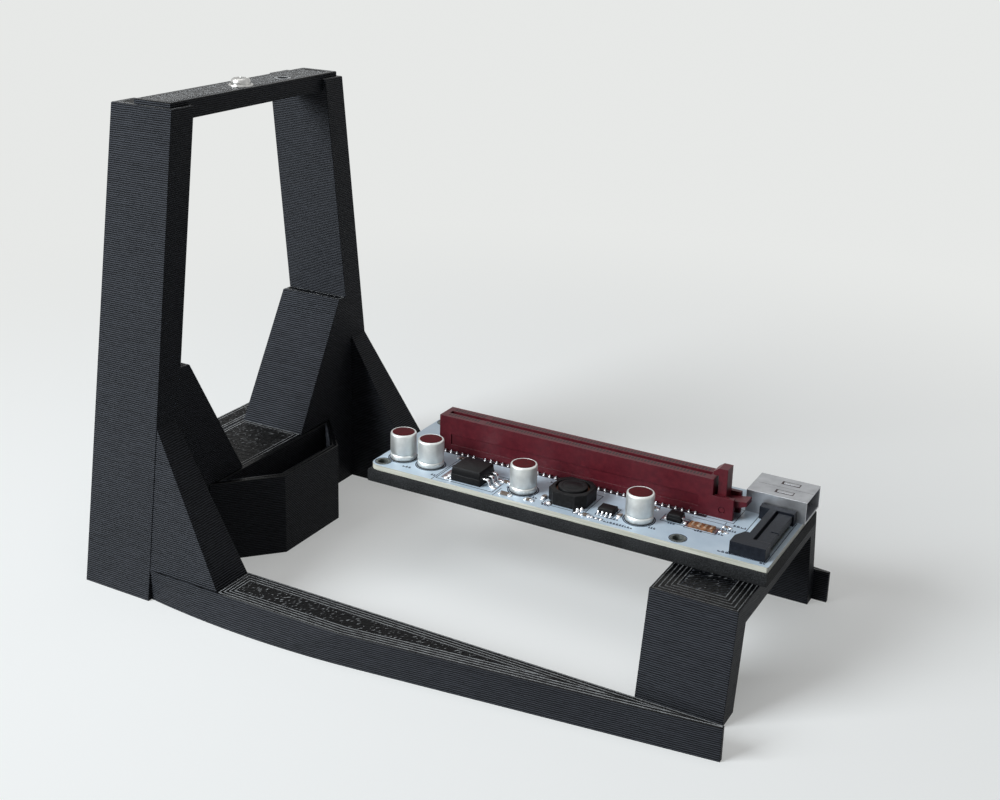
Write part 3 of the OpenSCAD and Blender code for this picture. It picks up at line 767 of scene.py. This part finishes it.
# small two-ended parts: x, y, length, width and height
BITS = [(89.6, -7.6, 3.2, 1.6, 0.6), (97.2, -7.4, 2.0, 1.25, 0.6), (100.2, -3.6, 1.25, 2.0, 0.7),
        (86.2, -0.4, 2.0, 1.25, 0.6), (115.2, -7.6, 2.0, 1.25, 0.6), (123.6, -3.0, 1.25, 2.0, 0.6),
        (130, 6.8, 2.0, 1.25, 0.6), (151.9, 3.0, 1.6, 0.8, 0.5), (151.9, 6.2, 1.6, 0.8, 0.5),
        (66.6, 7.2, 2.0, 1.25, 0.6), (99.4, 26, 2.0, 1.25, 0.6), (76.5, 26, 2.0, 1.25, 0.6)]
cores, tips = [], []
for x, y, lx, ly, h in BITS:
    longer = np.array([lx > ly, ly > lx], float)
    cores.append(block(x, y, BOARD_TOP + 0.04, lx - 0.7 * longer[0], ly - 0.7 * longer[1], h - 0.06, 0.06, 0.05))
    for side in (-1, 1):
        end = side * longer * max(lx, ly) / 2
        cx, cy = (x, y) + end - side * longer * 0.24
        tips.append(block(cx, cy, BOARD_TOP, 0.5 if lx > ly else lx, 0.5 if ly > lx else ly, h, 0.1, 0.08))
        px, py = (x, y) + end + side * longer * 0.15
        tips.append(pool(px, py, TOP, 0.55 if lx > ly else lx / 2, 0.55 if ly > lx else ly / 2, h * 0.6))
tips += [pool(x, y, TOP, 0.5, 0.5, 0.3) for x, y in DOTS]
piece("chip_cores", cores, "chip_brown", hides=["small_parts"])
piece("chip_tips", tips, "tinned_metal")

DIODE_X, DIODE_Y = 137.9, 3.2
piece("diode_body", [block(DIODE_X, DIODE_Y, BOARD_TOP + 0.2, 4.25, 3.5, 1.05, 0.15, 0.08),
                     block(DIODE_X, DIODE_Y, BOARD_TOP + 1.2, 4.2, 3.45, 1.08, 0.2, 0.14, 0.2)],
      "chip_black", hides=["diode"])
hook = smooth_path([(0, 0, 37.2), (0.35, 0, 37.2), (0.5, 0, 36.9), (0.5, 0, 36.3), (0.4, 0, 36.05),
                    (-0.2, 0, 36.02)], 5)   # out of the body's end, down and under it
straps = []
for degrees, side in ((0, 1), (180, -1)):
    straps.append(turned(strip(hook, 1.7, 0.2), degrees, DIODE_X + side * 2, DIODE_Y))
    straps.append(pool(DIODE_X + side * 2.9, DIODE_Y, TOP, 0.6, 1.0, 0.4))
piece("diode_straps", straps, "tinned_metal")

FUSE_X, FUSE_Y = 145.9, 2.6
BANDS = [(143.3, 0.6), (145.1, 0.9), (147.0, 0.7), (148.7, 0.6)]   # x and width of the pale bands on the fuse
piece("fuse_body", [block(FUSE_X, FUSE_Y, BOARD_TOP, 7.3, 3.1, 0.74, 0.2, 0.12)],
      "fuse_amber", hides=["fuse"])
piece("fuse_bands", [block(x, FUSE_Y, BOARD_TOP + 0.68, wide, 2.5, 0.1, 0.3, 0.04) for x, wide in BANDS],
      "fuse_pale")

# data socket: painted shade in the spring windows and a dark seam on the shell, the springs in the windows, contacts on
# the tongue
SOCK_X, SOCK_Y, SOCK_TOP = 152.4, 19.6, 42.5
SPRINGS = (2.4, 8.6)   # how far behind the socket's front side each spring starts
# dark sheets over the shell's spring windows: painted shade where the openings are; the thin bar after them is the seam
window_shade_and_seam = [bar(SOCK_X + 7.2, SOCK_Y + y, SOCK_X + 12.6, SOCK_Y + y + 2.1, SOCK_TOP + 0.004, 0.012) for y in SPRINGS]
window_shade_and_seam += [bar(SOCK_X + 1.2, SOCK_Y + 6.45, SOCK_X + 17.3, SOCK_Y + 6.55, SOCK_TOP + 0.004, 0.008)]
piece("socket_window_shade_and_seam", window_shade_and_seam, "slot_dark")
springs = [block(SOCK_X + 10.1, SOCK_Y + y + 1.05, SOCK_TOP, 4.6, 1.4, 0.1, 0.3, 0.04) for y in SPRINGS]
piece("socket_springs", springs, "shell_steel")
contacts = [block(SOCK_X + 11.5, SOCK_Y + 2.9 + i * 2.4, BOARD_TOP + 3.34, 6.5, 1.1, 0.18, 0.1, 0.05) for i in range(4)]
piece("socket_contacts", contacts, "contact_gold")


# ---------------------------------------------------------------- studio

CENTRE = (0.0, 0.0, 0.07)     # middle of the object, in m
PAPER = (0.68, 0.685, 0.685)  # colour of the floor as the camera sees it
DIM_PAPER = (0.22, 0.222, 0.222)   # and as it lights the object from below
FLOOR_NEAR = 0.30             # paleness of the floor near the object that needs no lamp
FLOOR_FAR = 0.81              # and far from it
FADE = (0.08, 0.45)           # where the one turns into the other, in m from the object's middle


def seen_ray(tree):
    """1 for camera, glossy and transmission rays, 0 for all others."""
    path = tree.nodes.new("ShaderNodeLightPath").outputs
    mirrored = maths(tree, "MAXIMUM", path["Is Glossy Ray"], path["Is Transmission Ray"])
    return maths(tree, "MAXIMUM", path["Is Camera Ray"], mirrored)


def floor():
    """A wide pale paper floor: it takes the object's shadow, and a steady share of its paleness shows
    to the camera and in reflections."""
    mesh = bpy.data.meshes.new("floor")
    half = 4.0
    mesh.from_pydata([(-half, -half, 0), (half, -half, 0), (half, half, 0), (-half, half, 0)], [], [(0, 1, 2, 3)])
    obj = bpy.data.objects.new("floor", mesh)
    bpy.context.scene.collection.objects.link(obj)
    mat, tree, surface = shader("floor_paper", PAPER, 0.95, specular=0.1)
    seen = seen_ray(tree)
    tree.links.new(ramp(tree, seen, DIM_PAPER, PAPER, (0.0, 1.0)), surface.inputs["Base Color"])
    coord = tree.nodes.new("ShaderNodeTexCoord")
    far = tree.nodes.new("ShaderNodeVectorMath")
    far.operation = "LENGTH"
    tree.links.new(coord.outputs["Object"], far.inputs[0])
    away = tree.nodes.new("ShaderNodeMapRange")
    away.interpolation_type = "SMOOTHSTEP"
    away.inputs["From Min"].default_value, away.inputs["From Max"].default_value = FADE
    tree.links.new(far.outputs["Value"], away.inputs["Value"])
    # the paper gives way to its own glow with distance
    black = tree.nodes.new("ShaderNodeEmission")
    black.inputs["Strength"].default_value = 0
    lit = tree.nodes.new("ShaderNodeMixShader")
    tree.links.new(maths(tree, "MULTIPLY", seen, away.outputs["Result"]), lit.inputs[0])
    tree.links.new(surface.outputs[0], lit.inputs[1])
    tree.links.new(black.outputs[0], lit.inputs[2])
    glow = tree.nodes.new("ShaderNodeEmission")
    glow.inputs["Color"].default_value = (0.985, 1.0, 0.985, 1)
    strength = maths(tree, "MULTIPLY", seen, span(tree, away.outputs["Result"], FLOOR_NEAR, FLOOR_FAR))
    tree.links.new(strength, glow.inputs["Strength"])
    both = tree.nodes.new("ShaderNodeAddShader")
    tree.links.new(lit.outputs[0], both.inputs[0])
    tree.links.new(glow.outputs[0], both.inputs[1])
    tree.links.new(both.outputs[0], tree.nodes["Material Output"].inputs["Surface"])
    mesh.materials.append(mat)


def world():
    """A faint even fill, and a pale backdrop for the rays that show it."""
    studio = bpy.data.worlds.new("studio")
    bpy.context.scene.world = studio
    studio.use_nodes = True
    tree = studio.node_tree
    fill = tree.nodes["Background"]
    fill.inputs["Color"].default_value = (0.80, 0.81, 0.83, 1)
    fill.inputs["Strength"].default_value = 0.035
    pale = tree.nodes.new("ShaderNodeBackground")
    pale.inputs["Color"].default_value = (0.78, 0.785, 0.78, 1)
    pale.inputs["Strength"].default_value = 1.0
    mix = tree.nodes.new("ShaderNodeMixShader")
    tree.links.new(seen_ray(tree), mix.inputs[0])
    tree.links.new(fill.outputs[0], mix.inputs[1])
    tree.links.new(pale.outputs[0], mix.inputs[2])
    tree.links.new(mix.outputs[0], tree.nodes["World Output"].inputs["Surface"])


def lamp(name, at, aim, size, power, colour=(1, 1, 1), spread=180):
    """A square soft box at a point, facing another point; spread narrows its beam, in degrees."""
    data = bpy.data.lights.new(name, "AREA")
    data.size = size
    data.energy = power
    data.color = colour
    data.spread = math.radians(spread)
    obj = bpy.data.objects.new(name, data)
    bpy.context.scene.collection.objects.link(obj)
    obj.location = at
    obj.rotation_euler = (Vector(aim) - Vector(at)).to_track_quat("-Z", "Y").to_euler()


floor()
lamp("key_box", (-0.68, -0.92, 0.66), (-0.10, 0, 0.09), 0.7, 7.9, (0.92, 0.97, 1.0), 110)
lamp("top_box", (-0.15, -0.1, 1.7), CENTRE, 1.5, 7)
world()


# ---------------------------------------------------------------- camera

TURN, TILT, ROLL = 28.4, 17.8, 1.6   # of the photograph's camera, in degrees
EYE = (0.1909, -0.3301, 0.2088)      # its place, in m
FOCAL, PICTURE = 1391, 1000          # focal length and picture width, in pixels of the photograph
SENSOR = 36                          # width, in mm
SHIFT_Y = -0.09                      # how far the picture's middle lies off the lens axis, in picture widths


def camera():
    """The photograph's viewpoint."""
    turn, tilt, roll = math.radians(TURN), math.radians(TILT), math.radians(ROLL)
    look = Vector((-math.sin(turn) * math.cos(tilt), math.cos(turn) * math.cos(tilt), -math.sin(tilt)))
    right = Vector((math.cos(turn), math.sin(turn), 0))
    up = right.cross(look)
    right, up = right * math.cos(roll) + up * math.sin(roll), up * math.cos(roll) - right * math.sin(roll)
    data = bpy.data.cameras.new("view")
    data.sensor_width = SENSOR
    data.lens = SENSOR * FOCAL / PICTURE
    data.shift_y = SHIFT_Y
    obj = bpy.data.objects.new("view", data)
    bpy.context.scene.collection.objects.link(obj)
    axes = Matrix((right, up, -look)).transposed()
    obj.matrix_world = Matrix.Translation(EYE) @ axes.to_4x4()
    bpy.context.scene.camera = obj


camera()
bpy.context.scene.view_settings.view_transform = "Standard"
